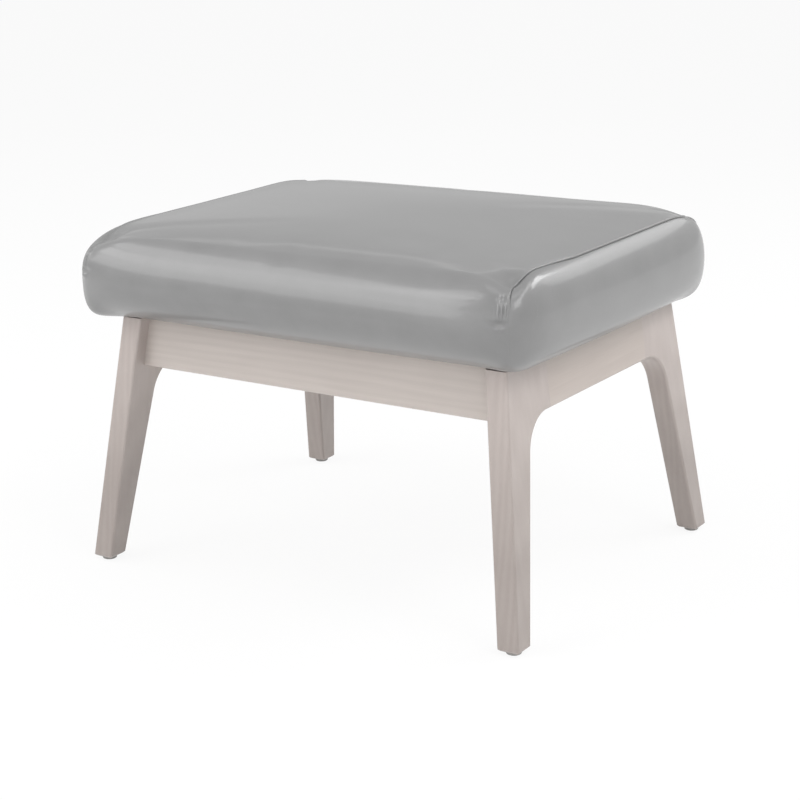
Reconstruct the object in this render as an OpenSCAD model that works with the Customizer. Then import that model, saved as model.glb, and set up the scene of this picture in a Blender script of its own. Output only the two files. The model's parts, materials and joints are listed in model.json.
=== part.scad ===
// Low footstool with four leaning wooden legs and a crowned leather cushion.
// The origin is on the floor, under the middle of the seat. The front faces -Y.

/* [Overall] */
// Width of the cushion at its fullest line, left to right
seat_w = 571.5; // [500:0.5:680]
// Depth of the cushion at its fullest line, front to back
seat_d = 464.8; // [410:0.2:560]
// Height from the floor to the top of the crown
total_h = 381; // [340:1:460]
// Height of the cushion above the wooden frame
cushion_h = 104; // [90:1:120]

/* [Side frames] */
// Distance from the cushion's fullest line in to the outside of a foot, sideways
foot_inset_w = 10.75; // [4:0.25:20]
// Distance from the cushion's fullest line in to the outside of a foot, front to back
foot_inset_d = 13.25; // [6:0.25:24]
// Thickness of the solid wood of a leg and a side rail
stock_t = 25; // [20:0.5:30]
// Depth of a leg at its foot
foot_depth = 25.5; // [20:0.5:32]
// Lean of a whole side frame towards the middle, in degrees
side_lean = 6.9; // [4:0.1:9]
// Lean of a leg's outer edge along its side frame, in degrees
leg_lean = 7.4; // [5:0.1:9]
// Lean of a leg's inner edge, steeper so that the leg widens upwards, in degrees
inner_lean = 12.1; // [10:0.1:13]
// Height of a side rail and of an apron
rail_h = 55; // [50:1:64]
// Radius of the knee between a leg's inner edge and the rail's underside
knee_r = 42; // [30:1:50]
// Straight stretch between the end of the knee and the glued joint
joint_set = 6; // [2:0.5:12]
// Radius of the rounded long edges
edge_r = 3; // [1:0.25:4.5]
// Chamfer round the bottom of a foot
foot_chamfer = 2.5; // [1:0.25:4]

/* [Aprons] */
// Thickness of the front and back aprons
apron_t = 20; // [16:0.5:24]
// Distance from the legs' outer edges back to an apron's face
apron_setback = 16.5; // [10:0.5:20]
// Radius of an apron's lower edges
apron_r = 2; // [1:0.25:4]

/* [Joinery] */
// Diameter of the wooden dowels
dowel_d = 8; // [6:0.5:9]
// Length of the wooden dowels
dowel_len = 40; // [34:1:44]
// Depth of the apron dowels in the legs
dowel_in_leg = 16; // [12:0.5:18]
// Distance between the two dowels of a joint
dowel_pitch = 30; // [26:1:32]
// Length of a corner block along each face
block_leg = 72; // [66:1:84]
// Height of a corner block
block_h = 36; // [34:1:44]
// Thickness of a corner block's blunt ends
block_tip = 10; // [6:0.5:12]
// Cut-away at a corner block's inner corner
block_relief = 12; // [6:0.5:16]
// Diameter of the screws
screw_d = 4; // [3:0.25:4.5]
// Diameter of the screws' heads
head_d = 8; // [7:0.25:9]
// Height of the screws' heads
head_h = 2.6; // [2:0.1:3.5]
// Length of a corner block's screws
block_screw_len = 25; // [20:1:28]
// Distance from the inner corner to a corner block's screws
block_screw_set = 58; // [54:1:60]
// Wood left under the heads of a corner block's screws
block_grip = 13; // [10:0.5:15]
// Distance from the inner corner to the seat screw, along each face
seat_screw_set = 26; // [20:1:32]
// Depth of a seat screw in the seat board
seat_screw_bite = 9; // [6:0.5:10]

/* [Glides] */
// Diameter of a glide
glide_d = 16; // [12:0.5:18]
// Height of a glide under the foot
glide_h = 4; // [3:0.5:6]
// Rounding of a glide's lower edge
glide_r = 1.5; // [0.5:0.1:2]
// Diameter of a glide nail
nail_d = 2.2; // [1.6:0.1:2.6]
// Diameter of a glide nail's head
nail_head_d = 6; // [4.5:0.25:6.5]
// Thickness of a glide nail's head
nail_head_h = 1; // [0.6:0.1:1.4]
// Depth that the nail head lies above the floor
nail_sink = 1; // [0.6:0.1:1.4]
// Depth of a glide nail in the foot
nail_bite = 14; // [10:1:18]

/* [Seat board] */
// Thickness of the plywood seat board
board_t = 12; // [11:0.5:15]
// Radius of the seat board's corners
board_r = 30; // [24:1:40]
// Thickness of the dust cover
dust_t = 0.5; // [0.3:0.1:0.8]
// Distance from the seat board's edge in to the dust cover's edge
dust_inset = 12; // [8:1:20]

/* [Cushion] */
// How far the cushion's underside stands out past the side frames
base_over_w = 7.8; // [5:0.2:11]
// How far the cushion's underside stands out past the aprons
base_over_d = 3.4; // [2:0.2:7]
// Height of the fullest line above the cushion's underside
wide_rise = 40.5; // [34:0.5:48]
// Width of the upper roll at the ends, up to the seam
roll_w = 24; // [18:0.5:30]
// Width of the upper roll at the front and the back
roll_d = 38; // [30:0.5:46]
// Rise of the crown from the seams to the middle
crown_h = 7; // [4:0.5:10]
// Thickness of the leather
cover_t = 1.5; // [1:0.1:2]
// Width of the leather turned under the seat board
flap_w = 36; // [28:1:40]
// Thickness of the fibre wrap
wrap_t = 6; // [4:0.5:8]

/* [Hidden] */
$fn = 48;

// Angles at which a knee and a rounded edge meet the flat faces beside them
knee_meet = 3;
edge_meet = 10;

// Overrun of every cut, and the clearances
overrun = 6;
dowel_clear = 0.1;
dowel_glue_room = 1;
screw_clear = 0.15;
nail_clear = 0.1;
counterbore_clear = 1.2;
block_hole_clear = 0.3;
dust_hole_clear = 1;
board_clear = 0.8;
layer_clear = 0.3;

// Colours
wood = [0.73, 0.70, 0.67];
block_wood = [0.80, 0.70, 0.54];
leather = [0.62, 0.62, 0.62];
steel = [0.75, 0.75, 0.72];

// Sides: each is a pair of signs, left or right and front or back
front_left = [-1, -1];
front_right = [1, -1];
back_left = [-1, 1];
back_right = [1, 1];
corners = [front_left, front_right, back_left, back_right];

// Levels above the floor
frame_top = total_h - cushion_h;
rail_mid = frame_top - rail_h / 2;
dowel_levels = [rail_mid - dowel_pitch / 2, rail_mid + dowel_pitch / 2];
block_low = frame_top - block_h;
under_z = frame_top + dust_t;
board_low = under_z + cover_t;
board_top = board_low + board_t;
wide_z = under_z + wide_rise;
shoulder_z = total_h - crown_h;

// Side frame: s runs up along its slope, y along the room, both from the floor.
floor_s = glide_h / cos(side_lean);
under_s = (frame_top - rail_h) / cos(side_lean);
low_s = floor_s - overrun;
high_s = (frame_top + overrun) / cos(side_lean);
foot_out_x = seat_w / 2 - foot_inset_w;
foot_out_y = seat_d / 2 - foot_inset_d;
stock_x = stock_t / cos(side_lean);
mid_x = foot_out_x + glide_h * tan(side_lean) - stock_x / 2;
function outer_y(s) = foot_out_y - (s - floor_s) * tan(leg_lean);
function inner_y(s) = foot_out_y - foot_depth - (s - floor_s) * tan(inner_lean);
knee_reach = knee_r * cos(knee_meet);
knee_s = under_s - knee_reach;
knee_y = inner_y(knee_s) - knee_reach / cos(inner_lean);
knee_end = [knee_y + knee_reach * cos(inner_lean), knee_s + knee_reach * sin(inner_lean)];
joint_y = knee_y - joint_set;

// Faces of the frame at a level above the floor
function face_out_x(z) = foot_out_x - (z - glide_h) * tan(side_lean);
function face_in_x(z) = face_out_x(z) - stock_x;
function leg_face_y(z) = outer_y(z / cos(side_lean));
apron_lean = atan(tan(leg_lean) / cos(side_lean));
function apron_out_y(z) = leg_face_y(z) - apron_setback;
function apron_in_y(z) = apron_out_y(z) - apron_t / cos(apron_lean);

// Foot, on the sole of a leg
sole_x = foot_out_x - stock_x / 2;
sole_y = foot_out_y - foot_depth / 2;

// Inner corner of the frame at the level of the corner blocks' screws
corner_x = face_in_x(rail_mid);
corner_y = apron_in_y(rail_mid);
seat_screw_x = corner_x - seat_screw_set;
seat_screw_y = corner_y - seat_screw_set;

// Seat board and cushion outlines, as half widths
base_w = face_out_x(frame_top) + base_over_w;
base_d = apron_out_y(frame_top) + base_over_d;
bulge_w = seat_w / 2 - base_w;
bulge_d = seat_d / 2 - base_d;
board_w = base_w - cover_t - wrap_t;
board_d = base_d - cover_t - wrap_t;
wrap_inset = cover_t + layer_clear;
foam_inset = wrap_inset + wrap_t + layer_clear;

// How round the corners of the cushion's outline are at its underside, fullest line and seam
base_round_share = 0.03;
wide_round_share = 0.11;
top_round_share = 0.09;

// Steps of the cushion's surfaces
side_steps = 12;
low_steps = 4;
roll_steps = 5;
top_steps = 10;
inner_top_steps = 3;

// Moves what is drawn for the back right corner to the corner that is asked for
module at_corner(side) {
    mirror([side[0] < 0 ? 1 : 0, 0, 0]) mirror([0, side[1] < 0 ? 1 : 0, 0]) children();
}

// Stands a side frame's parts, drawn upright over the origin, at their lean on the right
module lean_in() {
    translate([mid_x, 0, 0]) rotate([0, -side_lean, 0]) children();
}

// Turns a profile of y and s into a solid, its thickness centred on the frame's middle plane
module across_stock(t) {
    rotate([90, 0, 90]) translate([0, 0, -t / 2]) linear_extrude(t) children();
}

// What a round edge takes off a square corner that lies at the origin
module corner_waste(r) {
    reach = r * cos(edge_meet);
    difference() {
        translate([-overrun, -overrun]) square(reach + overrun);
        translate([reach, reach]) circle(r);
    }
}

// Waste of both long edges along a straight stretch of profile, with the wood on its left
module edge_waste(a, b) {
    run = b - a;
    for (m = [0, 1])
        mirror([m, 0, 0]) translate([stock_t / 2, a[0], a[1]])
            rotate([atan2(run[1], run[0]), 0, 0]) rotate([90, 0, 180])
                linear_extrude(norm(run)) corner_waste(edge_r);
}

// Waste of the knee itself, which flares at both faces to round its edges
module knee_waste() {
    translate([0, knee_y, knee_s]) rotate([0, 90, 0]) rotate_extrude() {
        translate([0, -stock_t / 2 - overrun]) square([knee_r, stock_t + 2 * overrun]);
        for (m = [0, 1])
            mirror([0, m]) translate([knee_r, -stock_t / 2]) corner_waste(edge_r);
    }
}

// Bores for the dowels between a leg and its side rail, from the joint into the wood
module rail_dowel_bores() {
    for (z = dowel_levels)
        translate([0, joint_y, z / cos(side_lean)]) rotate([90, 0, 0])
            cylinder(r = dowel_d / 2 + dowel_clear, h = dowel_len + 2 * dowel_glue_room, center = true);
}

// Bores for the dowels between a leg and an apron, on the right
module apron_dowel_bores() {
    for (z = dowel_levels)
        translate([face_in_x(z) + dowel_in_leg + dowel_glue_room, apron_mid_y(z), z])
            rotate([0, -90, 0]) cylinder(r = dowel_d / 2 + dowel_clear, h = dowel_len + 2 * dowel_glue_room);
}
function apron_mid_y(z) = (apron_out_y(z) + apron_in_y(z)) / 2;

// Pilot hole of the corner block's screw in the side rail, on the right
module side_pilot() {
    translate([corner_x - block_grip, corner_y - block_screw_set, rail_mid]) rotate([0, 90, 0])
        cylinder(r = screw_d / 2 + screw_clear, h = block_screw_len + overrun / 2);
}

// Pilot hole of the corner block's screw in the apron, at the back right
module apron_pilot() {
    translate([corner_x - block_screw_set, corner_y - block_grip, rail_mid]) rotate([-90, 0, 0])
        cylinder(r = screw_d / 2 + screw_clear, h = block_screw_len + overrun / 2);
}

// Everything below a foot's sole or above the frame
module level_cuts() {
    reach = seat_w + seat_d;
    translate([-reach / 2, -reach / 2, glide_h - reach]) cube(reach);
    translate([-reach / 2, -reach / 2, frame_top]) cube(reach);
}

// Chamfers round the sole
module sole_chamfers() {
    side = foot_chamfer * sqrt(2);
    wide = 2 * stock_t + foot_depth;
    for (x = [foot_out_x, foot_out_x - stock_x])
        translate([x, sole_y, glide_h]) rotate([0, 45, 0]) cube([side, wide, side], center = true);
    for (y = [foot_out_y, foot_out_y - foot_depth])
        translate([sole_x, y, glide_h]) rotate([45, 0, 0]) cube([wide, side, side], center = true);
}

// A leg for the back right corner, cut from one piece with its knee
module leg() {
    color(wood) difference() {
        lean_in() difference() {
            across_stock(stock_t)
                polygon([[outer_y(low_s), low_s], [outer_y(high_s), high_s], [joint_y, high_s],
                         [joint_y, under_s], [knee_y, under_s], [knee_y, knee_s], knee_end,
                         [inner_y(low_s), low_s]]);
            knee_waste();
            edge_waste([outer_y(low_s), low_s], [outer_y(high_s), high_s]);
            edge_waste(knee_end, [inner_y(low_s), low_s]);
            edge_waste([joint_y - overrun, under_s], [knee_y, under_s]);
            rail_dowel_bores();
        }
        level_cuts();
        sole_chamfers();
        apron_dowel_bores();
        translate([sole_x, sole_y, glide_h - overrun])
            cylinder(r = nail_d / 2 + nail_clear, h = overrun + nail_bite + 2 * nail_clear);
    }
}

// The right side rail, flush with its legs
module side_rail() {
    color(wood) difference() {
        lean_in() difference() {
            across_stock(stock_t)
                polygon([[joint_y, under_s], [joint_y, high_s], [-joint_y, high_s], [-joint_y, under_s]]);
            edge_waste([-joint_y - overrun, under_s], [joint_y + overrun, under_s]);
            for (m = [0, 1]) mirror([0, m, 0]) rail_dowel_bores();
        }
        level_cuts();
        for (m = [0, 1]) mirror([0, m, 0]) side_pilot();
    }
}

// Space between the two leaning side frames
module between_sides() {
    rotate([90, 0, 0]) linear_extrude(2 * seat_d, center = true)
        polygon([[-face_in_x(0), 0], [face_in_x(0), 0],
                 [face_in_x(total_h), total_h], [-face_in_x(total_h), total_h]]);
}

// The back apron: a board with rounded lower edges that leans like the legs
module apron() {
    low = frame_top - rail_h;
    color(wood) difference() {
        intersection() {
            translate([0, apron_out_y(low), low]) rotate([apron_lean, 0, 0])
                rotate([90, 0, 90]) linear_extrude(seat_w, center = true) difference() {
                    translate([-apron_t, 0]) square([apron_t, rail_h + 2 * overrun]);
                    mirror([1, 0]) corner_waste(apron_r);
                    translate([-apron_t, 0]) corner_waste(apron_r);
                }
            between_sides();
        }
        level_cuts();
        for (m = [0, 1]) mirror([m, 0, 0]) {
            apron_dowel_bores();
            apron_pilot();
        }
    }
}

// Corner block of the back right corner, with its screw holes
module corner_block() {
    color(block_wood) difference() {
        intersection() {
            translate([corner_x, corner_y, block_low]) linear_extrude(block_h)
                polygon([[-block_leg, overrun], [-block_leg, -block_tip], [-block_tip, -block_leg],
                         [overrun, -block_leg], [overrun, -block_relief - overrun],
                         [-block_relief - overrun, overrun]]);
            between_sides();
            rotate([90, 0, 90]) linear_extrude(2 * seat_w, center = true)
                polygon([[0, 0], [apron_in_y(0), 0], [apron_in_y(total_h), total_h], [0, total_h]]);
        }
        block_screw_places() {
            translate([0, 0, -overrun])
                cylinder(r = screw_d / 2 + block_hole_clear, h = block_grip + 2 * overrun);
            translate([0, 0, -block_leg]) cylinder(r = head_d / 2 + counterbore_clear, h = block_leg);
        }
        translate([seat_screw_x, seat_screw_y, block_low - overrun])
            cylinder(r = screw_d / 2 + block_hole_clear, h = block_h + 2 * overrun);
    }
}

// The two screws of a corner block: each runs from under its head into the rail or apron
module block_screw_places() {
    translate([corner_x - block_grip, corner_y - block_screw_set, rail_mid]) rotate([0, 90, 0]) children();
    translate([corner_x - block_screw_set, corner_y - block_grip, rail_mid]) rotate([-90, 0, 0]) children();
}

// A screw with a domed head under the origin and a tapered shank above it
module screw(length) {
    rotate_extrude()
        polygon([[0, -head_h], [head_d / 4, -head_h], [head_d * 3 / 8, -head_h * 4 / 5],
                 [head_d / 2, -head_h / 3], [head_d / 2, 0], [screw_d / 2, 0],
                 [screw_d / 2, length - screw_d], [screw_d / 8, length], [0, length]]);
}

module block_screws() {
    color(steel) for (side = corners) at_corner(side) block_screw_places() screw(block_screw_len);
}

module seat_screws() {
    color(steel) for (side = corners) at_corner(side)
        translate([seat_screw_x, seat_screw_y, block_low])
            screw(board_low + seat_screw_bite - block_low);
}

// A dowel with chamfered ends, centred on the origin
module dowel() {
    tip = dowel_d / 8;
    rotate_extrude()
        polygon([[0, -dowel_len / 2], [dowel_d / 2 - tip, -dowel_len / 2], [dowel_d / 2, tip - dowel_len / 2],
                 [dowel_d / 2, dowel_len / 2 - tip], [dowel_d / 2 - tip, dowel_len / 2], [0, dowel_len / 2]]);
}

module rail_dowels() {
    color(block_wood) for (side = corners) at_corner(side) lean_in() for (z = dowel_levels)
        translate([0, joint_y, z / cos(side_lean)]) rotate([90, 0, 0]) dowel();
}

module apron_dowels() {
    color(block_wood) for (side = corners) at_corner(side) for (z = dowel_levels)
        translate([face_in_x(z) + dowel_in_leg - dowel_len / 2, apron_mid_y(z), z])
            rotate([0, 90, 0]) dowel();
}

// A round plastic glide with a recess for its nail's head
module glide() {
    color([0.55, 0.55, 0.54]) translate([sole_x, sole_y, 0]) difference() {
        rotate_extrude() difference() {
            square([glide_d / 2, glide_h]);
            translate([glide_d / 2, 0]) mirror([1, 0]) corner_waste(glide_r);
        }
        translate([0, 0, -overrun])
            cylinder(r = nail_head_d / 2 + nail_clear, h = overrun + nail_sink + nail_head_h);
        cylinder(r = nail_d / 2 + nail_clear, h = glide_h + overrun);
    }
}

module glide_nails() {
    color(steel) for (side = corners) at_corner(side) translate([sole_x, sole_y, nail_sink])
        rotate_extrude()
            polygon([[0, 0], [nail_head_d / 2, 0], [nail_head_d / 2, nail_head_h], [nail_d / 2, nail_head_h],
                     [nail_d / 2, glide_h + nail_bite - nail_d - nail_sink],
                     [nail_d / 8, glide_h + nail_bite - nail_sink], [0, glide_h + nail_bite - nail_sink]]);
}

// A plate with round corners
module round_plate(w, d, r, t) {
    linear_extrude(t) {
        square([2 * w, 2 * (d - r)], center = true);
        square([2 * (w - r), 2 * d], center = true);
        for (x = [-1, 1], y = [-1, 1]) translate([x * (w - r), y * (d - r)]) circle(r);
    }
}

module seat_board() {
    color(block_wood) difference() {
        translate([0, 0, board_low]) round_plate(board_w, board_d, board_r, board_t);
        for (side = corners) at_corner(side) translate([seat_screw_x, seat_screw_y, board_low - overrun])
            cylinder(r = screw_d / 2 + screw_clear, h = overrun + seat_screw_bite + 2 * screw_clear);
    }
}

module dust_cover() {
    color([0.12, 0.12, 0.12]) difference() {
        translate([0, 0, frame_top])
            round_plate(board_w - dust_inset, board_d - dust_inset, board_r - dust_inset, dust_t);
        for (side = corners) at_corner(side) translate([seat_screw_x, seat_screw_y, frame_top - overrun])
            cylinder(r = screw_d / 2 + dust_hole_clear, h = dust_t + 2 * overrun);
    }
}

// Cushion outline. A place on it is a point of the unit square; side 0 is the right end,
// then back, left and front, and v runs from -1 to 1 along a side.
function spread(v) = sin(90 * v);
function square_point(side, v) =
    side == 0 ? [1, v] : side == 1 ? [-v, 1] : side == 2 ? [-1, -v] : [v, -1];
function soft_square(p, round_share) =
    let (m = max(abs(p[0]), abs(p[1])), n = 1 / round_share)
    m == 0 ? 1 : m / pow(pow(abs(p[0]), n) + pow(abs(p[1]), n), round_share);
function outline_point(p, level) =
    let (f = soft_square(p, level[2])) [level[0] * p[0] * f, level[1] * p[1] * f, level[3]];

// Levels of the cushion's skin, each as half width, half depth, corner roundness and height.
// The inset is how deep the surface lies under the leather's outer face.
function flap_level(inset) =
    [base_w - flap_w, base_d - flap_w, base_round_share, under_z + inset];
function low_level(t, inset) =
    let (out = sin(90 * t))
    [base_w + (bulge_w - inset) * out, base_d + (bulge_d - inset) * out,
     base_round_share + (wide_round_share - base_round_share) * out,
     wide_z - (wide_rise - inset) * cos(90 * t)];
function roll_level(t, inset) =
    let (out = cos(90 * t))
    [seat_w / 2 - roll_w + (roll_w - inset) * out, seat_d / 2 - roll_d + (roll_d - inset) * out,
     top_round_share + (wide_round_share - top_round_share) * out,
     wide_z + (shoulder_z - wide_z - inset) * sin(90 * t)];
function side_levels(inset) =
    concat([for (i = [0:low_steps]) low_level(i / low_steps, inset)],
           [for (i = [1:roll_steps]) roll_level(i / roll_steps, inset)]);

// Place on the crowned top
function top_point(p, inset) =
    let (q = outline_point(p, roll_level(1, inset)),
         x = q[0] / (seat_w / 2 - roll_w), y = q[1] / (seat_d / 2 - roll_d))
    [q[0], q[1], q[2] + crown_h * (1 - x * x) * (1 - y * y)];

// One row of a panel along a side, and a whole ring round the cushion
function side_row(side, level) =
    [for (j = [0:side_steps]) outline_point(square_point(side, spread(2 * j / side_steps - 1)), level)];
function ring_row(level) =
    [for (side = [0:3]) for (j = [0:side_steps - 1])
        outline_point(square_point(side, spread(2 * j / side_steps - 1)), level)];
function top_ring(m, inset) =
    [for (side = [0:3]) for (j = [0:side_steps - 1])
        top_point(m * square_point(side, spread(2 * j / side_steps - 1)), inset)];

// Rows of the main panel, from the front flap over the top to the back flap
function front_rows(inset) =
    [for (level = concat([flap_level(inset)], side_levels(inset))) side_row(3, level)];
function back_rows(inset) =
    let (rows = [for (level = concat([flap_level(inset)], side_levels(inset)))
                    [for (j = [0:side_steps])
                        outline_point([spread(2 * j / side_steps - 1), 1], level)]])
    [for (i = [len(rows) - 1:-1:0]) rows[i]];
function top_rows(inset) =
    [for (i = [1:top_steps - 1]) [for (j = [0:side_steps])
        top_point([spread(2 * j / side_steps - 1), spread(2 * i / top_steps - 1)], inset)]];
function main_rows(inset) = concat(front_rows(inset), top_rows(inset), back_rows(inset));
function end_rows(inset) =
    [for (level = concat([flap_level(inset)], side_levels(inset))) side_row(0, level)];

function flatten(rows) = [for (row = rows) for (p = row) p];

// A sheet with thickness, between an outer and an inner grid of points
module sheet(outer, inner) {
    m = len(outer);
    n = len(outer[0]);
    back = m * n;
    skin = [for (i = [0:m - 2]) for (j = [0:n - 2])
        let (a = i * n + j, b = a + 1, c = a + n, d = c + 1)
        each [[a, c, b], [b, c, d], [back + a, back + b, back + c], [back + b, back + d, back + c]]];
    long_rims = [for (j = [0:n - 2])
        let (a = j, b = j + 1, c = (m - 1) * n + j, d = c + 1)
        each [[a, b, back + a], [b, back + b, back + a], [c, back + c, d], [d, back + c, back + d]]];
    cross_rims = [for (i = [0:m - 2])
        let (a = i * n, b = a + n, c = a + n - 1, d = c + n)
        each [[a, back + a, b], [b, back + a, back + b], [c, d, back + c], [d, back + d, back + c]]];
    polyhedron(concat(flatten(outer), flatten(inner)), concat(skin, long_rims, cross_rims), convexity = 8);
}

// A closed solid through rings of equal count, from one middle point to another
module ring_solid(first, rings, last) {
    m = len(rings);
    n = len(rings[0]);
    tip = m * n;
    bands = [for (i = [0:m - 2]) for (j = [0:n - 1])
        let (a = i * n + j, b = i * n + (j + 1) % n, c = a + n, d = b + n)
        each [[a, b, c], [b, d, c]]];
    caps = [for (j = [0:n - 1])
        let (k = (j + 1) % n, base = (m - 1) * n)
        each [[tip, k, j], [tip + 1, base + j, base + k]]];
    polyhedron(concat(flatten(rings), [first, last]), concat(bands, caps), convexity = 8);
}

// Rings of a cushion surface from the top down to a level of its lower roll
function surface_rings(inset, low_end) =
    concat([for (i = [1:inner_top_steps]) top_ring(spread(i / inner_top_steps), inset)],
           [for (i = [roll_steps - 1:-1:1]) ring_row(roll_level(i / roll_steps, inset))],
           [for (i = [low_steps:-1:0]) ring_row(low_level(low_end + (1 - low_end) * i / low_steps, inset))]);

// Share of the lower roll that lies below the seat board's top, where the foam ends
foam_end_share = acos((wide_z - board_top) / (wide_rise - foam_inset)) / 90;

module foam_core() {
    color([0.93, 0.88, 0.70])
        ring_solid(top_point([0, 0], foam_inset), surface_rings(foam_inset, foam_end_share),
                   [0, 0, board_top]);
}

// Fibre wrap: over the foam, and tucked down beside the seat board
module fibre_wrap() {
    inner_inset = wrap_inset + wrap_t;
    inside = surface_rings(inner_inset, foam_end_share);
    board_ring = [board_w + board_clear, board_d + board_clear, base_round_share];
    tuck = [for (z = [board_low + layer_clear, board_top - wrap_t / 4]) ring_row(concat(board_ring, [z]))];
    color([0.94, 0.94, 0.92])
        ring_solid(top_point([0, 0], wrap_inset),
                   concat(surface_rings(wrap_inset, 0), tuck, [for (i = [len(inside) - 1:-1:0]) inside[i]]),
                   top_point([0, 0], inner_inset));
}

module cover_main() {
    color(leather) sheet(main_rows(0), main_rows(cover_t));
}

module cover_end() {
    color(leather) sheet(end_rows(0), end_rows(cover_t));
}

at_corner(front_left) leg();  // leg_front_left
at_corner(front_right) leg();  // leg_front_right
at_corner(back_left) leg();  // leg_back_left
at_corner(back_right) leg();  // leg_back_right
at_corner(back_left) side_rail();  // side_rail_left
side_rail();  // side_rail_right
at_corner(front_right) apron();  // apron_front
apron();  // apron_back
at_corner(front_left) corner_block();  // corner_block_front_left
at_corner(front_right) corner_block();  // corner_block_front_right
at_corner(back_left) corner_block();  // corner_block_back_left
at_corner(back_right) corner_block();  // corner_block_back_right
at_corner(front_left) glide();  // glide_front_left
at_corner(front_right) glide();  // glide_front_right
at_corner(back_left) glide();  // glide_back_left
at_corner(back_right) glide();  // glide_back_right
glide_nails();
rail_dowels();
apron_dowels();
block_screws();
seat_screws();
seat_board();
dust_cover();
foam_core();
fibre_wrap();
cover_main();
at_corner(back_left) cover_end();  // cover_end_left
cover_end();  // cover_end_right
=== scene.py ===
"""Low ottoman: a leather cushion on a pale wooden frame with four splayed legs. Lengths are in metres."""

import json
import math

import bmesh
import bpy
import numpy as np
from mathutils import Matrix, Vector, kdtree
from mathutils.bvhtree import BVHTree

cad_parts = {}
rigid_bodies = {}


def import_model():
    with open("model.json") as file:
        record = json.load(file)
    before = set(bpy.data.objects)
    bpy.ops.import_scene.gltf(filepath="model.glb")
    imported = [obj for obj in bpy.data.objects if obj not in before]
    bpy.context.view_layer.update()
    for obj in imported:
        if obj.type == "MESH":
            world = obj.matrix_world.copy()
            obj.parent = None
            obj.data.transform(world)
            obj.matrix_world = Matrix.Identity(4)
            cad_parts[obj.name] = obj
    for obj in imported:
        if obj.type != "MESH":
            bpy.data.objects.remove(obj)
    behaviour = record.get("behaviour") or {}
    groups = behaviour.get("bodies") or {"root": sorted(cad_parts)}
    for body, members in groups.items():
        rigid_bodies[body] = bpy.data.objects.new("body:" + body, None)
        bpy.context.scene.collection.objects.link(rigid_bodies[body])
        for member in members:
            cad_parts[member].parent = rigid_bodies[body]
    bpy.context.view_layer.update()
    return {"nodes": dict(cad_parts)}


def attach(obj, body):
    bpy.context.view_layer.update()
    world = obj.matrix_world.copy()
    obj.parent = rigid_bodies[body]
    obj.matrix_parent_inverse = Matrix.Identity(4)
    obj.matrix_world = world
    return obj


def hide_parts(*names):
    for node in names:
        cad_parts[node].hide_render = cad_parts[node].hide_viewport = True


for leftover in list(bpy.data.objects):
    bpy.data.objects.remove(leftover)
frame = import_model()
nodes = frame["nodes"]


# Camera. It stands before the front right corner and above the ottoman, and looks at the middle
# of the frame through a long lens. Its turn, rise and roll are in degrees.
camera_place = (1.11203, -1.68814, 0.74910)
camera_turn, camera_rise, camera_roll = 33.4192, 15.9874, -1.1359
lens = bpy.data.cameras.new("camera")
lens.lens, lens.sensor_width = 84.5316, 36
lens.clip_start, lens.clip_end = 0.05, 60
camera = bpy.data.objects.new("camera", lens)
camera.matrix_world = (
    Matrix.Translation(camera_place)
    @ Matrix.Rotation(math.radians(camera_turn), 4, "Z")
    @ Matrix.Rotation(math.radians(90 - camera_rise), 4, "X")
    @ Matrix.Rotation(math.radians(camera_roll), 4, "Z")
)
bpy.context.scene.collection.objects.link(camera)
bpy.context.scene.camera = camera


# Legs, side rails and aprons. Straight-grained boards, dowelled and glued, with a thin grey wash
# that is rubbed back so that the grain shows, under a semi-gloss lacquer. The grain runs along
# each board.
def colour(red, green, blue):
    """A colour given as it looks on the screen, from 0 to 255, in the renderer's own values."""
    return (*[((c / 255 + 0.055) / 1.055) ** 2.4 for c in (red, green, blue)], 1)


def place(tree, kind, sockets=None, **settings):
    """Adds a node, with numbers or links on its sockets and other settings by name."""
    added = tree.nodes.new(kind)
    for name, value in settings.items():
        setattr(added, name, value)
    for name, value in (sockets or {}).items():
        if isinstance(value, bpy.types.NodeSocket):
            tree.links.new(value, added.inputs[name])
        else:
            added.inputs[name].default_value = value
    return added


def effect(name, takes, gives):
    """A node group with named sockets, and its two end nodes."""
    tree = bpy.data.node_groups.new(name, "ShaderNodeTree")
    for label, kind, value in takes:
        tree.interface.new_socket(label, in_out="INPUT", socket_type=kind)
    for label, kind in gives:
        tree.interface.new_socket(label, in_out="OUTPUT", socket_type=kind)
    start, end = tree.nodes.new("NodeGroupInput"), tree.nodes.new("NodeGroupOutput")
    for item in tree.interface.items_tree:
        for label, kind, value in takes:
            if item.in_out == "INPUT" and item.name == label and value is not None:
                item.default_value = value
    return tree, start, end


def finish_of(name):
    """A new material with its tree and its main shader."""
    made = bpy.data.materials.new(name)
    made.use_nodes = True
    return made, made.node_tree, made.node_tree.nodes["Principled BSDF"]


def dress(material, *names):
    """Gives CAD nodes a finish in place of their plain one."""
    for name in names:
        for part in nodes[name].material_slots:
            part.material = material


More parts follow.
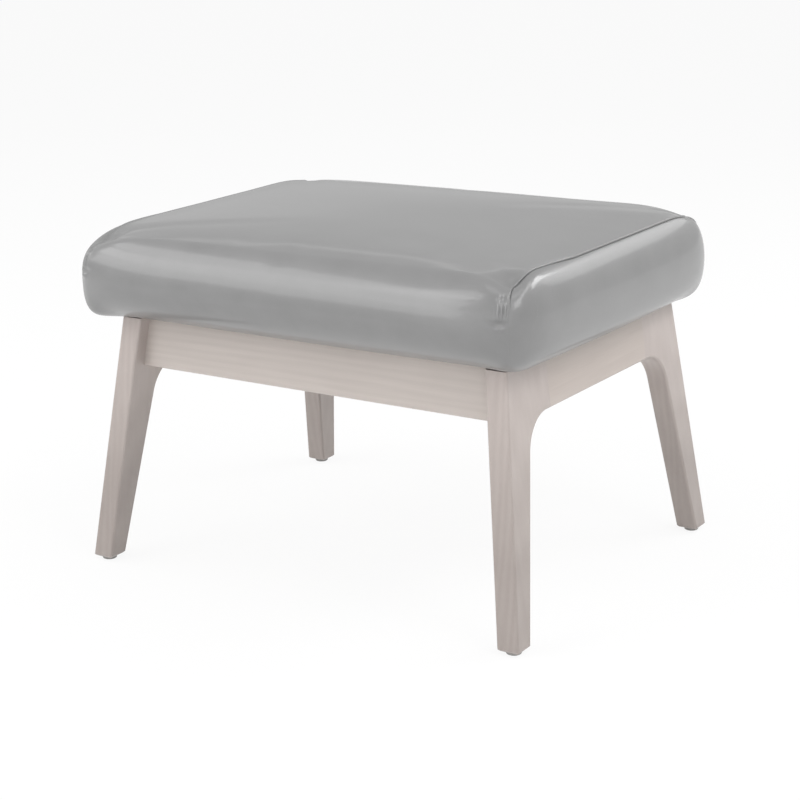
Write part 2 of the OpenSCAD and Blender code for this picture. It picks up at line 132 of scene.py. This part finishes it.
grain, start, end = effect(
    "board grain",
    [("Place", "NodeSocketVector", None), ("Pale", "NodeSocketColor", (0.6, 0.55, 0.5, 1)),
     ("Dark", "NodeSocketColor", (0.4, 0.36, 0.32, 1)), ("Gloss", "NodeSocketFloat", 0.4)],
    [("Color", "NodeSocketColor"), ("Height", "NodeSocketFloat"), ("Roughness", "NodeSocketFloat")],
)
band_stretch, hair_stretch = 0.07, 0.012
long_way = place(grain, "ShaderNodeMapping",
                 {"Vector": start.outputs["Place"], "Scale": (1, 1, band_stretch)})
hair_way = place(grain, "ShaderNodeMapping",
                 {"Vector": start.outputs["Place"], "Scale": (1, 1, hair_stretch)})
bands = place(
    grain, "ShaderNodeTexNoise",
    {"Vector": long_way.outputs[0], "Scale": 70, "Detail": 3, "Roughness": 0.55, "Distortion": 0.6},
)
rings = place(
    grain, "ShaderNodeTexWave",
    {"Vector": long_way.outputs[0], "Scale": 38, "Distortion": 7, "Detail": 2, "Detail Scale": 0.8},
    bands_direction="X",
)
hairs = place(grain, "ShaderNodeTexNoise",
              {"Vector": hair_way.outputs[0], "Scale": 1500, "Detail": 3, "Roughness": 0.6})
clouds = place(grain, "ShaderNodeTexNoise", {"Vector": start.outputs["Place"], "Scale": 9, "Detail": 2})
tone_shares = ((bands, 0.42), (rings, 0.13), (hairs, 0.34), (clouds, 0.34))
sums = [
    place(grain, "ShaderNodeMath", {0: source.outputs[0], 1: share}, operation="MULTIPLY")
    for source, share in tone_shares
]
level = sums[0]
for more in sums[1:]:
    level = place(grain, "ShaderNodeMath", {0: level.outputs[0], 1: more.outputs[0]}, operation="ADD")
depth = place(grain, "ShaderNodeMapRange", {"Value": level.outputs[0], "From Min": 0.42, "From Max": 0.82})
tone = place(grain, "ShaderNodeMixRGB",
             {"Fac": depth.outputs[0], "Color1": start.outputs["Dark"], "Color2": start.outputs["Pale"]})
pores = place(grain, "ShaderNodeMapRange", {"Value": hairs.outputs[0], "From Min": 0.34, "From Max": 0.44})
wear = place(grain, "ShaderNodeMath", {0: clouds.outputs[0], 1: 0.16}, operation="MULTIPLY")
sheen = place(grain, "ShaderNodeMath", {0: start.outputs["Gloss"], 1: wear.outputs[0]}, operation="ADD")
grain.links.new(tone.outputs[0], end.inputs["Color"])
grain.links.new(pores.outputs[0], end.inputs["Height"])
grain.links.new(sheen.outputs[0], end.inputs["Roughness"])
# Painted shade: from the top height down to the bottom height the upright boards grow darker.
painted_shade_top, painted_shade_bottom = 0.29, 0.09


def board_finish(name, pale, dark, gloss, turn, pore_depth=0.00006, coat=0.0, foot=None):
    """Wood whose grain runs along Z once the board is turned by the given degrees. Its colour may
    grow darker towards the floor, by the foot's colour: painted shade, for light that falls from above."""
    made, tree, shader = finish_of(name)
    spot = place(tree, "ShaderNodeTexCoord")
    along = place(tree, "ShaderNodeMapping",
                  {"Vector": spot.outputs["Object"], "Rotation": [math.radians(a) for a in turn]})
    wood = place(tree, "ShaderNodeGroup", node_tree=grain)
    tree.links.new(along.outputs[0], wood.inputs["Place"])
    wood.inputs["Pale"].default_value, wood.inputs["Dark"].default_value = pale, dark
    wood.inputs["Gloss"].default_value = gloss
    bump = place(tree, "ShaderNodeBump",
                 {"Height": wood.outputs["Height"], "Strength": 0.5, "Distance": pore_depth})
    tree.links.new(wood.outputs["Color"], shader.inputs["Base Color"])
    # Painted shade: the colour is multiplied by the foot's colour, more so towards the floor.
    if foot:
        height = place(tree, "ShaderNodeSeparateXYZ", {0: spot.outputs["Object"]})
        low = place(tree, "ShaderNodeMapRange",
                    {"Value": height.outputs["Z"], "From Min": painted_shade_top, "From Max": painted_shade_bottom})
        darker = place(tree, "ShaderNodeMixRGB",
                       {"Fac": low.outputs[0], "Color1": wood.outputs["Color"], "Color2": foot},
                       blend_type="MULTIPLY")
        tree.links.new(darker.outputs[0], shader.inputs["Base Color"])
    tree.links.new(wood.outputs["Roughness"], shader.inputs["Roughness"])
    tree.links.new(bump.outputs[0], shader.inputs["Normal"])
    shader.inputs["Coat Weight"].default_value = coat
    shader.inputs["Coat Roughness"].default_value = 0.22
    return made


# The legs carry painted shade that darkens them towards the floor.
upright = board_finish("greige wood, upright grain", colour(195, 185, 180), colour(181, 170, 165),
                       0.34, (0, 0, 0), coat=0.35, foot=colour(217, 216, 215))
lengthways = board_finish("greige wood, grain front to back", colour(190, 180, 173), colour(177, 166, 159),
                          0.34, (90, 0, 0), coat=0.35)
crossways = board_finish("greige wood, grain side to side", colour(200, 191, 185), colour(188, 179, 173),
                         0.34, (0, 90, 0), coat=0.35)
dress(upright, "leg_front_left", "leg_front_right", "leg_back_left", "leg_back_right")
dress(lengthways, "side_rail_left", "side_rail_right")
dress(crossways, "apron_front", "apron_back")


# Corner blocks and dowels. Bare hardwood from the workshop, sawn and left unfinished, because
# they sit out of sight under the seat. They are glued, and the blocks are screwed as well.
raw = board_finish("bare hardwood", colour(214, 192, 156), colour(186, 160, 122),
                   0.55, (0, 90, 45), pore_depth=0.0002)
dress(raw, "corner_block_front_left", "corner_block_front_right", "corner_block_back_left",
      "corner_block_back_right", "rail_dowels", "apron_dowels")


# Screws and nails. Zinc-plated steel with a faint blue-grey haze and turning marks.
plated, tree, shader = finish_of("zinc-plated steel")
spot = place(tree, "ShaderNodeTexCoord")
haze = place(tree, "ShaderNodeTexNoise", {"Vector": spot.outputs["Object"], "Scale": 900, "Detail": 3})
dull = place(tree, "ShaderNodeMapRange", {"Value": haze.outputs[0], "To Min": 0.28, "To Max": 0.5})
tint = place(tree, "ShaderNodeMixRGB",
             {"Fac": haze.outputs[0], "Color1": colour(196, 198, 200), "Color2": colour(222, 221, 214)})
tree.links.new(dull.outputs[0], shader.inputs["Roughness"])
tree.links.new(tint.outputs[0], shader.inputs["Base Color"])
shader.inputs["Metallic"].default_value = 1
dress(plated, "block_screws", "seat_screws", "glide_nails")


# Glides. Moulded grey nylon buttons, each nailed under a foot, scuffed where they slide.
nylon, tree, shader = finish_of("grey nylon")
spot = place(tree, "ShaderNodeTexCoord")
scuffs = place(tree, "ShaderNodeTexNoise", {"Vector": spot.outputs["Object"], "Scale": 700, "Detail": 4})
shade = place(tree, "ShaderNodeMixRGB",
              {"Fac": scuffs.outputs[0], "Color1": colour(140, 138, 136), "Color2": colour(176, 174, 172)})
pits = place(tree, "ShaderNodeBump", {"Height": scuffs.outputs[0], "Strength": 0.4, "Distance": 0.0001})
tree.links.new(shade.outputs[0], shader.inputs["Base Color"])
tree.links.new(pits.outputs[0], shader.inputs["Normal"])
shader.inputs["Roughness"].default_value = 0.5
dress(nylon, "glide_front_left", "glide_front_right", "glide_back_left", "glide_back_right")


# Seat board and dust cover. The board is raw plywood inside the cushion, screwed down to the
# corner blocks. The dust cover is a black non-woven cloth of pressed fibres, laid flat over the
# underside.
ply = board_finish("raw plywood", colour(206, 180, 140), colour(176, 146, 104),
                   0.6, (0, 90, 0), pore_depth=0.0002)
dress(ply, "seat_board")
felted, tree, shader = finish_of("black dust cloth")
spot = place(tree, "ShaderNodeTexCoord")
fibres = place(
    tree, "ShaderNodeTexNoise",
    {"Vector": spot.outputs["Object"], "Scale": 1400, "Detail": 4, "Roughness": 0.7, "Distortion": 2},
)
dots = place(tree, "ShaderNodeTexVoronoi",
             {"Vector": spot.outputs["Object"], "Scale": 420, "Randomness": 0.2})
shade = place(tree, "ShaderNodeMixRGB",
              {"Fac": fibres.outputs[0], "Color1": colour(30, 30, 31), "Color2": colour(66, 66, 68)})
weld = place(tree, "ShaderNodeMath", {0: dots.outputs["Distance"], 1: fibres.outputs[0]}, operation="ADD")
nap = place(tree, "ShaderNodeBump", {"Height": weld.outputs[0], "Strength": 0.7, "Distance": 0.0003})
tree.links.new(shade.outputs[0], shader.inputs["Base Color"])
tree.links.new(nap.outputs[0], shader.inputs["Normal"])
shader.inputs["Roughness"].default_value = 0.9
dress(felted, "dust_cover")


# Leather cushion. Foam with a fibre wrap, under a cover cut in three panels: one runs from the
# front over the top to the back, and one closes each end, lapped under the long one at the seam.
under_z, wide_z, shoulder_z, crown_rise = 0.2775, 0.322, 0.374, 0.007
seat_half = Vector((0.28675, 0.2324))
base_half = Vector((0.24975, 0.1704))
shoulder_half = Vector((0.26175, 0.1944))
base_round, wide_round, top_round = 0.03, 0.11, 0.042
cushion_shift, top_tilt = -0.003, 0.0015

# How the stuffing fills out the roll: softer than a round one along the long sides, fuller at the
# ends, and tight towards the top, a little less so at the corners. An ear is how far the roll
# already stands out at the underside.
side_soft, end_full, end_ear = 0.14, 0.12, 0.08
top_tight, top_tight_slope, top_corner_loose = 1.15, 0.06, 0.27

# Each corner, by the signs of X and Y: how far the tip of its top sinks, how closely that dip
# hugs the tip, how much fuller its roll is below, and its ear there.
corner_reach = 0.03
corners = {
    (1, -1): (0.012, 1.6, 0.1, 0.17),
    (-1, -1): (0.0125, 0.7, 0.36, 0.34),
    (-1, 1): (0.0045, 0.7, 0.36, 0.34),
    (1, 1): (0.0098, 0.7, 0.36, 0.34),
}


def soft_square(u, v, roundness):
    """How far a point of the unit square moves in, so that the square's corners turn round."""
    most, power = max(abs(u), abs(v)), 1 / roundness
    return most and most / (abs(u) ** power + abs(v) ** power) ** roundness


def on_cushion(u, v, rise, inset=0.0):
    """Where a point of the unit square lies on the cushion, or that deep under its skin. The rise
    goes from 0 at the underside past 1 at the fullest line to 2 at the seams and the top."""
    from_end, from_side = (1 - abs(u)) * seat_half.x, (1 - abs(v)) * seat_half.y
    at_corner = math.exp(-(from_end ** 2 + from_side ** 2) / corner_reach ** 2)
    at_tip = math.exp(-((from_end + from_side) / corner_reach) ** 2)
    sink, hug, corner_full, corner_ear = corners[1 if u > 0 else -1, 1 if v > 0 else -1]
    if rise <= 1:
        swing = math.pi / 2 * rise
        at_end = u * u * (1 - v * v)
        square = 1 + side_soft * v * v * (1 - u * u) - end_full * at_end - corner_full * at_corner
        ear = end_ear * at_end + corner_ear * at_corner
        out, drop = math.sin(swing) ** square, max(math.cos(swing), 0) ** square
        out = ear + (1 - ear) * out
        half = base_half.lerp(seat_half, out) - Vector((inset, inset)) * out
        roundness = base_round + (wide_round - base_round) * out
        z = wide_z - (wide_z - under_z) * drop
    else:
        swing = math.pi / 2 * (rise - 1)
        tight = top_tight + top_tight_slope * u - top_corner_loose * at_corner
        out, lift = max(math.cos(swing), 0) ** tight, math.sin(swing) ** tight
        half = shoulder_half.lerp(seat_half, out) - Vector((inset, inset)) * out
        roundness = top_round + (wide_round - top_round) * out
        droop = sink * at_tip ** hug
        z = wide_z + (shoulder_z + top_tilt * (u + v) - droop - inset - wide_z) * lift
    pull_in = soft_square(u, v, roundness)
    x, y = half.x * u * pull_in, half.y * v * pull_in
    if rise == 2:
        z += crown_rise * (1 - (x / half.x) ** 2) * (1 - (y / half.y) ** 4)
    return Vector((x + cushion_shift, y, z))


# The cover's pattern: a cube's faces, cut into a fine grid and laid on the cushion. Its ends are
# the end panels, and the rest is the long panel.
grid = (96, 78, 26)
at_face = 0.99999
least_uncut = 1.5
held_from = 1.6
roll_girth, hold_reach = 0.07, 0.022


def fullness(u, v, rise):
    """From 0 at the seams and the underside to 1 in the open leather, for a point of the cube."""
    if rise == 2:
        away = (1 - abs(u)) * shoulder_half.x
    elif abs(u) > at_face:
        away = min((1 - abs(v)) * seat_half.y, (2 - rise) * roll_girth, rise * roll_girth)
    else:
        away = min((1 - abs(u)) * seat_half.x, rise * roll_girth)
    return 1 - math.exp(-(away / hold_reach) ** 2)


shell = bmesh.new()
bmesh.ops.create_cube(shell, size=2)
for axis, cells in enumerate(grid):
    uncut = [e for e in shell.edges if abs((e.verts[1].co - e.verts[0].co)[axis]) > least_uncut]
    bmesh.ops.subdivide_edges(shell, edges=uncut, cuts=cells - 1, use_grid_fill=True)
for face in shell.faces:
    face.material_index = int(abs(face.calc_center_median().x) > at_face)
    face.smooth = True
for edge in shell.edges:
    a, b = (vert.co for vert in edge.verts)
    on_end = abs(a.x) > at_face and abs(b.x) > at_face
    on_top = a.z > at_face and b.z > at_face
    on_side = abs(a.y) > at_face and abs(b.y) > at_face
    edge.seam = on_end and (on_top or on_side)
shell.verts.index_update()
grip, pattern = {}, []
swell_room = 0.004
for vert in shell.verts:
    u, v, w = vert.co
    rise = w + 1 if max(abs(u), abs(v)) > at_face else 2 * (w > 0)
    sewn_edge = rise > held_from and any(e.seam for e in vert.link_edges)
    grip[vert.index] = 1.0 if rise == 0 else 0.5 if sewn_edge else 0.0
    pattern.append(on_cushion(u, v, rise))
    vert.co = on_cushion(u, v, rise, swell_room * fullness(u, v, rise))
cushion_mesh = bpy.data.meshes.new("cushion")
shell.to_mesh(cushion_mesh)
shell.free()
cushion = bpy.data.objects.new("cushion", cushion_mesh)
bpy.context.scene.collection.objects.link(cushion)

# The stuffing swells the cover. Of that change, its slow part over the whole panel and its fine
# part are each kept in part, and never past a greatest length.
swell_frames = 20
slow_rounds, slow_share, slow_most = 120, 0.35, 0.002
fine_rounds, fine_share, fine_most = 8, 0.18, 0.0012


def evened(field, pairs, rounds):
    """A field over the mesh's points after that many rounds of sharing with their neighbours."""
    shares = np.bincount(pairs.ravel(), minlength=len(field))[:, None]
    for _ in range(rounds):
        total = np.zeros_like(field)
        np.add.at(total, pairs[:, 0], field[pairs[:, 1]])
        np.add.at(total, pairs[:, 1], field[pairs[:, 0]])
        field = (field + total / shares) / 2
    return field


def capped(field, most):
    """Moves that fade towards a greatest length."""
    length = np.maximum(np.linalg.norm(field, axis=1, keepdims=True), 1e-9)
    return field * (most * np.tanh(length / most) / length)


def stuff(piece, grip, pattern):
    """Swells a cover under the pressure of its filling, and then keeps it to its pattern's size."""
    held = piece.vertex_groups.new(name="held")
    for index, weight in grip.items():
        if weight:
            held.add([index], weight, "REPLACE")
    cloth = piece.modifiers.new("stuffing", "CLOTH")
    sewn = cloth.settings
    sewn.use_pressure, sewn.uniform_pressure_force = True, 4
    sewn.vertex_group_mass = "held"
    sewn.effector_weights.gravity = 0
    sewn.quality, sewn.mass = 6, 0.35
    sewn.tension_stiffness, sewn.compression_stiffness, sewn.shear_stiffness = 25, 25, 12
    sewn.bending_stiffness = 1.5
    cloth.collision_settings.use_collision = False
    cloth.point_cache.frame_start, cloth.point_cache.frame_end = 1, swell_frames
    for moment in range(1, swell_frames + 1):
        bpy.context.scene.frame_set(moment)
    swollen = piece.evaluated_get(bpy.context.evaluated_depsgraph_get()).data
    change = np.array([vert.co for vert in swollen.vertices]) - pattern
    pairs = np.array([edge.vertices for edge in piece.data.edges])
    piece.modifiers.remove(cloth)
    piece.vertex_groups.remove(held)
    slow = evened(change, pairs, slow_rounds)
    fine = evened(change, pairs, fine_rounds) - slow
    change = capped(slow * slow_share, slow_most) + capped(fine * fine_share, fine_most)
    piece.data.vertices.foreach_set("co", (pattern + change).ravel().astype(np.float32))
    piece.data.update()
    bpy.context.scene.frame_set(1)


stuff(cushion, grip, np.array(pattern))
finer = cushion.modifiers.new("finer", "SUBSURF")
finer.levels = finer.render_levels = 1
fine_mesh = bpy.data.meshes.new_from_object(
    cushion.evaluated_get(bpy.context.evaluated_depsgraph_get()))
cushion.modifiers.clear()
cushion.data = fine_mesh
bpy.data.meshes.remove(cushion_mesh)


# The seam: the long panel's folded edge stands a little over a millimetre proud of the end panel,
# with a narrow groove at its foot. Rows of faces along the seam are split, so that both show.
def split_beside_seam(mesh, cuts):
    """Splits the row of faces on either side of the seam along its length."""
    on_seam = {vert for edge in mesh.edges if edge.seam for vert in edge.verts}
    across = [e for e in mesh.edges if not e.seam and (e.verts[0] in on_seam) != (e.verts[1] in on_seam)]
    bmesh.ops.subdivide_edges(mesh, edges=across, cuts=cuts, quad_corner_type="INNER_VERT")


def search_tree(spots):
    """A tree that finds the nearest of these places."""
    found = kdtree.KDTree(len(spots))
    for i, spot in enumerate(spots):
        found.insert(spot, i)
    found.balance()
    return found


skin = bmesh.new()
skin.from_mesh(fine_mesh)
painted_seam_shade = skin.verts.layers.float.new("seam shade")
split_beside_seam(skin, 5)

# The seam turns down at each corner in an easy curve, and lies a little down the end's roll. Its
# points slide to that curve, and the leather beside it slides along with them on its own surface.
ease_reach = 0.011
slide_out, slide_down = 0.0045, -0.002
slide_start, slide_start_length = 0.155, 0.07
slide_end, slide_end_length = 0.22, 0.02
slide_above = 0.35
curve_foot, curve_fade = 0.335, 0.015
drag_reach, drag_above, drag_blend, drag_fade = 0.035, 0.32, 0.004, 0.014
skin.normal_update()
surface = BVHTree.FromBMesh(skin)
seam_edges = {vert: [e for e in vert.link_edges if e.seam] for vert in skin.verts}
front_ends = [vert for vert, edges in seam_edges.items() if len(edges) == 1 and vert.co.y < 0]
pulls = []
for first in front_ends:
    chain, edge = [first], seam_edges[first][0]
    while edge:
        chain.append(edge.other_vert(chain[-1]))
        edge = next((e for e in seam_edges[chain[-1]] if e is not edge), None)
    run = np.array([vert.co for vert in chain])
    steps = np.linalg.norm(np.diff(run, axis=0, prepend=run[:1]), axis=1)
    along = np.cumsum(steps)
    shares = np.exp(-((along[:, None] - along[None, :]) / ease_reach) ** 2) * steps
    eased = shares @ run / shares.sum(axis=1, keepdims=True)
    past_front = np.clip((run[:, 1] + slide_start) / slide_start_length, 0, 1)
    before_back = np.clip((slide_end - run[:, 1]) / slide_end_length, 0, 1)
    slid = past_front * before_back * (run[:, 2] > slide_above)
    eased += slid[:, None] * np.array([math.copysign(slide_out, run[0, 0]), 0, slide_down])
    shown = np.clip((run[:, 2] - curve_foot) / curve_fade, 0, 1)[:, None]
    pulls += [(vert.co.copy(), Vector(pull)) for vert, pull in zip(chain, (eased - run) * shown)]
seam_tree = search_tree([spot for spot, pull in pulls])
moves = {}
for vert in skin.verts:
    near = seam_tree.find_range(vert.co, drag_reach) if vert.co.z > drag_above else []
    if near:
        closest = min(away for _, _, away in near)
        weights = [math.exp(-((away - closest) / drag_blend) ** 2) for _, _, away in near]
        pull = sum((pulls[i][1] * w for (_, i, _), w in zip(near, weights)), Vector()) / sum(weights)
        moves[vert] = vert.co + pull * math.exp(-(closest / drag_fade) ** 2)
for vert, goal in moves.items():
    vert.co = surface.find_nearest(goal)[0]
split_beside_seam(skin, 2)

# The darts: where the seam runs out, a little down each corner, the mesh is made finer first.
dart_places = [Vector((x, y, 0.345)) for x in (-0.266, 0.261) for y in (-0.211, 0.211)]
dart_reach, finest_edge = 0.032, 0.0009
for _ in range(2):
    around = [
        e for e in skin.edges
        if all(min((v.co - dart).length for dart in dart_places) < dart_reach for v in e.verts)
        and e.calc_length() > finest_edge
    ]
    bmesh.ops.subdivide_edges(skin, edges=around, cuts=1, smooth=1.0, use_grid_fill=True)
skin.normal_update()
seam_tree = search_tree([
    edge.verts[0].co.lerp(edge.verts[1].co, i / 4) for edge in skin.edges if edge.seam for i in range(4)
])

# The seam's own relief and the painted shade in its groove, and how much of them is left where it has run
# out towards the underside.
lap_rise, lap_width, groove_deep, groove_width = 0.0006, 0.005, 0.0012, 0.0004
ridge_rise, ridge_place, ridge_width = 0.0008, 0.0012, 0.001
tuck_deep, tuck_width = 0.0001, 0.004
relief_reach = 0.03
least_shown, most_added, run_out_z, run_out_length = 0.06, 0.94, 0.346, 0.012

# The gathers of a dart: how high each stands, how far from the seam it lies and how wide it is
# there, and its height on the cushion and how tall it is.
pleat_pitch = 0.0034
gathers = {
    "pleats": (0.0008, 0.006, 0.006, 0.346, 0.008),
    "fold": (-0.0018, 0.006, 0.006, 0.3555, 0.0026),
    "crease": (-0.0022, 0.009, 0.008, 0.3345, 0.0024),
    "swell": (0.0022, 0.008, 0.0045, 0.3285, 0.0024),
}
corner_from_y = 0.19


def bell(away, width):
    """1 in the middle, fading to nothing past that width."""
    return math.exp(-(away / width) ** 2)


def pucker(away, z):
    """Gathers where the seam ends in a dart a little down the corner: fine upright pleats beside
    it, under a small fold, over a short crease and a swell."""
    total = 0
    for kind, (stands, from_seam, wide, height, tall) in gathers.items():
        wave = math.cos(2 * math.pi * away / pleat_pitch) if kind == "pleats" else 1
        total += stands * wave * bell(away - from_seam, wide) * bell(z - height, tall)
    return total


relief = {}
for vert in skin.verts:
    away = seam_tree.find(vert.co)[2]
    if away < relief_reach:
        kinds = {face.material_index for face in vert.link_faces}
        side = 0 if len(kinds) == 2 else 1 - 2 * kinds.pop()
        over = away * side
        lap = 0
        if over > -groove_width:
            lap = lap_rise * bell(away, lap_width) * min(1, max(0, over / groove_width + 1))
        lap += ridge_rise * bell(over - ridge_place, ridge_width)
        groove = bell(over + groove_width, groove_width)
        tuck = -tuck_deep * bell(away, tuck_width) if side < 0 else 0
        shown = least_shown + most_added * min(1, max(0, (vert.co.z - run_out_z) / run_out_length))
        # Painted shade in the groove, kept as a mask that darkens the leather's colour.
        vert[painted_seam_shade] = shown * groove
        relief[vert] = shown * (lap + tuck - groove_deep * groove)
        if side > 0 and abs(vert.co.y) > corner_from_y:
            relief[vert] += pucker(away, vert.co.z)
for vert, height in relief.items():
    vert.co += vert.normal * height
skin.to_mesh(fine_mesh)
skin.free()

# The hide: a smooth mid grey with a faint mottle, a fine pebble and creases, and a soft gloss.
hide, start, end = effect(
    "hide", [("Place", "NodeSocketVector", None)],
    [("Color", "NodeSocketColor"), ("Height", "NodeSocketFloat"), ("Roughness", "NodeSocketFloat")],
)
pebbles = place(hide, "ShaderNodeTexVoronoi",
                {"Vector": start.outputs[0], "Scale": 780, "Smoothness": 0.6}, feature="SMOOTH_F1")
creases = place(hide, "ShaderNodeTexNoise",
                {"Vector": start.outputs[0], "Scale": 260, "Detail": 4, "Roughness": 0.6})
mottle = place(hide, "ShaderNodeTexNoise",
               {"Vector": start.outputs[0], "Scale": 26, "Detail": 4, "Roughness": 0.55})
shade = place(hide, "ShaderNodeMixRGB",
              {"Fac": mottle.outputs[0], "Color1": colour(122, 122, 122), "Color2": colour(134, 134, 134)})
skin_height = place(hide, "ShaderNodeMath",
                    {0: pebbles.outputs["Distance"], 1: creases.outputs[0]}, operation="ADD")
gloss = place(hide, "ShaderNodeMapRange", {"Value": mottle.outputs[0], "To Min": 0.38, "To Max": 0.48})
hide.links.new(shade.outputs[0], end.inputs["Color"])
hide.links.new(skin_height.outputs[0], end.inputs["Height"])
hide.links.new(gloss.outputs[0], end.inputs["Roughness"])

leather, tree, shader = finish_of("grey leather")
spot = place(tree, "ShaderNodeTexCoord")
hide_here = place(tree, "ShaderNodeGroup", node_tree=hide)
# Painted shade: in the seam's groove the leather's colour is darkened towards a deep grey.
painted_groove_mask = place(tree, "ShaderNodeAttribute", attribute_name="seam shade")
painted_groove_shade = place(tree, "ShaderNodeMath", {0: painted_groove_mask.outputs["Fac"], 1: 0.2}, operation="MULTIPLY")
tone = place(
    tree, "ShaderNodeMixRGB",
    {"Fac": painted_groove_shade.outputs[0], "Color1": hide_here.outputs["Color"], "Color2": colour(40, 40, 40)},
)
tree.links.new(spot.outputs["Object"], hide_here.inputs["Place"])
bump = place(tree, "ShaderNodeBump",
             {"Height": hide_here.outputs["Height"], "Strength": 0.35, "Distance": 0.00012})
tree.links.new(tone.outputs[0], shader.inputs["Base Color"])
tree.links.new(hide_here.outputs["Roughness"], shader.inputs["Roughness"])
tree.links.new(bump.outputs[0], shader.inputs["Normal"])
shader.inputs["Coat Weight"].default_value = 0.6
shader.inputs["Coat Roughness"].default_value = 0.13
for panel in ("long panel", "end panels"):
    fine_mesh.materials.append(leather)
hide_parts("foam_core", "fibre_wrap", "cover_main", "cover_end_left", "cover_end_right")
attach(cushion, "root")


# Floor and light. A white sweep keeps a trace of the ottoman's shadow, in an even light from all
# round. Large soft lamps at the front left light the front roll, others over the right light the
# end and the top, two low ones in front light the wood, and two faint ones stand behind.
ground = bmesh.new()
bmesh.ops.create_grid(ground, x_segments=1, y_segments=1, size=12)
floor_mesh = bpy.data.meshes.new("floor")
ground.to_mesh(floor_mesh)
ground.free()
floor = bpy.data.objects.new("floor", floor_mesh)
bpy.context.scene.collection.objects.link(floor)
paper, tree, shader = finish_of("white paper")
shader.inputs["Base Color"].default_value = (0.92, 0.92, 0.92, 1)
shader.inputs["Roughness"].default_value = 0.9
shader.inputs["Specular IOR Level"].default_value = 0.1
whitened = 0.9
path = place(tree, "ShaderNodeLightPath")
seen = place(tree, "ShaderNodeMath",
             {0: path.outputs["Is Camera Ray"], 1: path.outputs["Is Glossy Ray"]}, operation="ADD")
seen = place(tree, "ShaderNodeMath",
             {0: seen.outputs[0], 1: path.outputs["Is Transmission Ray"]}, operation="ADD", use_clamp=True)
share = place(tree, "ShaderNodeMath", {0: seen.outputs[0], 1: whitened}, operation="MULTIPLY")
glow = place(tree, "ShaderNodeEmission", {"Color": (1, 1, 1, 1), "Strength": 1})
both = place(tree, "ShaderNodeMixShader", {0: share.outputs[0], 1: shader.outputs[0], 2: glow.outputs[0]})
tree.links.new(both.outputs[0], tree.nodes["Material Output"].inputs["Surface"])
floor_mesh.materials.append(paper)

bpy.context.scene.view_settings.view_transform = "Standard"
world = bpy.data.worlds.new("studio")
bpy.context.scene.world = world
world.use_nodes = True
tree = world.node_tree
even = tree.nodes["Background"]
even.inputs["Color"].default_value = (1, 1, 1, 1)
even.inputs["Strength"].default_value = 0.54
path = place(tree, "ShaderNodeLightPath")
seen = place(tree, "ShaderNodeMath",
             {0: path.outputs["Is Camera Ray"], 1: path.outputs["Is Transmission Ray"]},
             operation="ADD", use_clamp=True)
white = place(tree, "ShaderNodeBackground", {"Color": (1, 1, 1, 1), "Strength": 1})
both = place(tree, "ShaderNodeMixShader", {0: seen.outputs[0], 1: even.outputs[0], 2: white.outputs[0]})
tree.links.new(both.outputs[0], tree.nodes["World Output"].inputs["Surface"])
lit_height = 0.36


def softbox(name, turn, rise, away, wide, tall, watts):
    """A rectangular lamp that faces the cushion, from a turn about Z and a rise in degrees."""
    made = bpy.data.lights.new(name, "AREA")
    made.shape, made.size, made.size_y, made.energy = "RECTANGLE", wide, tall, watts
    lamp = bpy.data.objects.new(name, made)
    lamp.matrix_world = (
        Matrix.Translation((0, 0, lit_height))
        @ Matrix.Rotation(math.radians(turn + 90), 4, "Z")
        @ Matrix.Rotation(math.radians(90 - rise), 4, "X")
        @ Matrix.Translation((0, 0, away))
    )
    bpy.context.scene.collection.objects.link(lamp)


softbox("front left softbox, top", -150, 45, 2.6, 2.6, 0.42, 7.5)
softbox("front left softbox, middle", -142, 34, 2.6, 2.6, 0.55, 13)
softbox("front left softbox, foot", -135, 22, 2.6, 2.6, 0.55, 10)
softbox("front softbox, top", -120, 47, 2.6, 0.9, 0.6, 4)
softbox("back right softbox", 49, 32, 2.6, 1.1, 0.55, 15)
softbox("back right reflector", 66, 21, 2.6, 1.2, 0.6, 4)
softbox("right softbox", -18, 38, 2.6, 0.9, 1.0, 12)
softbox("right overhead softbox", 17, 52, 2.5, 1.5, 0.9, 12.5)
softbox("overhead softbox", -60, 80, 2.3, 1.2, 1.0, 4.5)
softbox("front softbox", -95, 12, 2.8, 2.2, 1.2, 6)
softbox("front right fill", -52, 12, 3.0, 1.6, 1.2, 6)
softbox("back strip", 134, 28.5, 3.0, 2.2, 0.1, 0.7)
softbox("back wall", 128, 7, 3.5, 2.4, 0.4, 0.6)
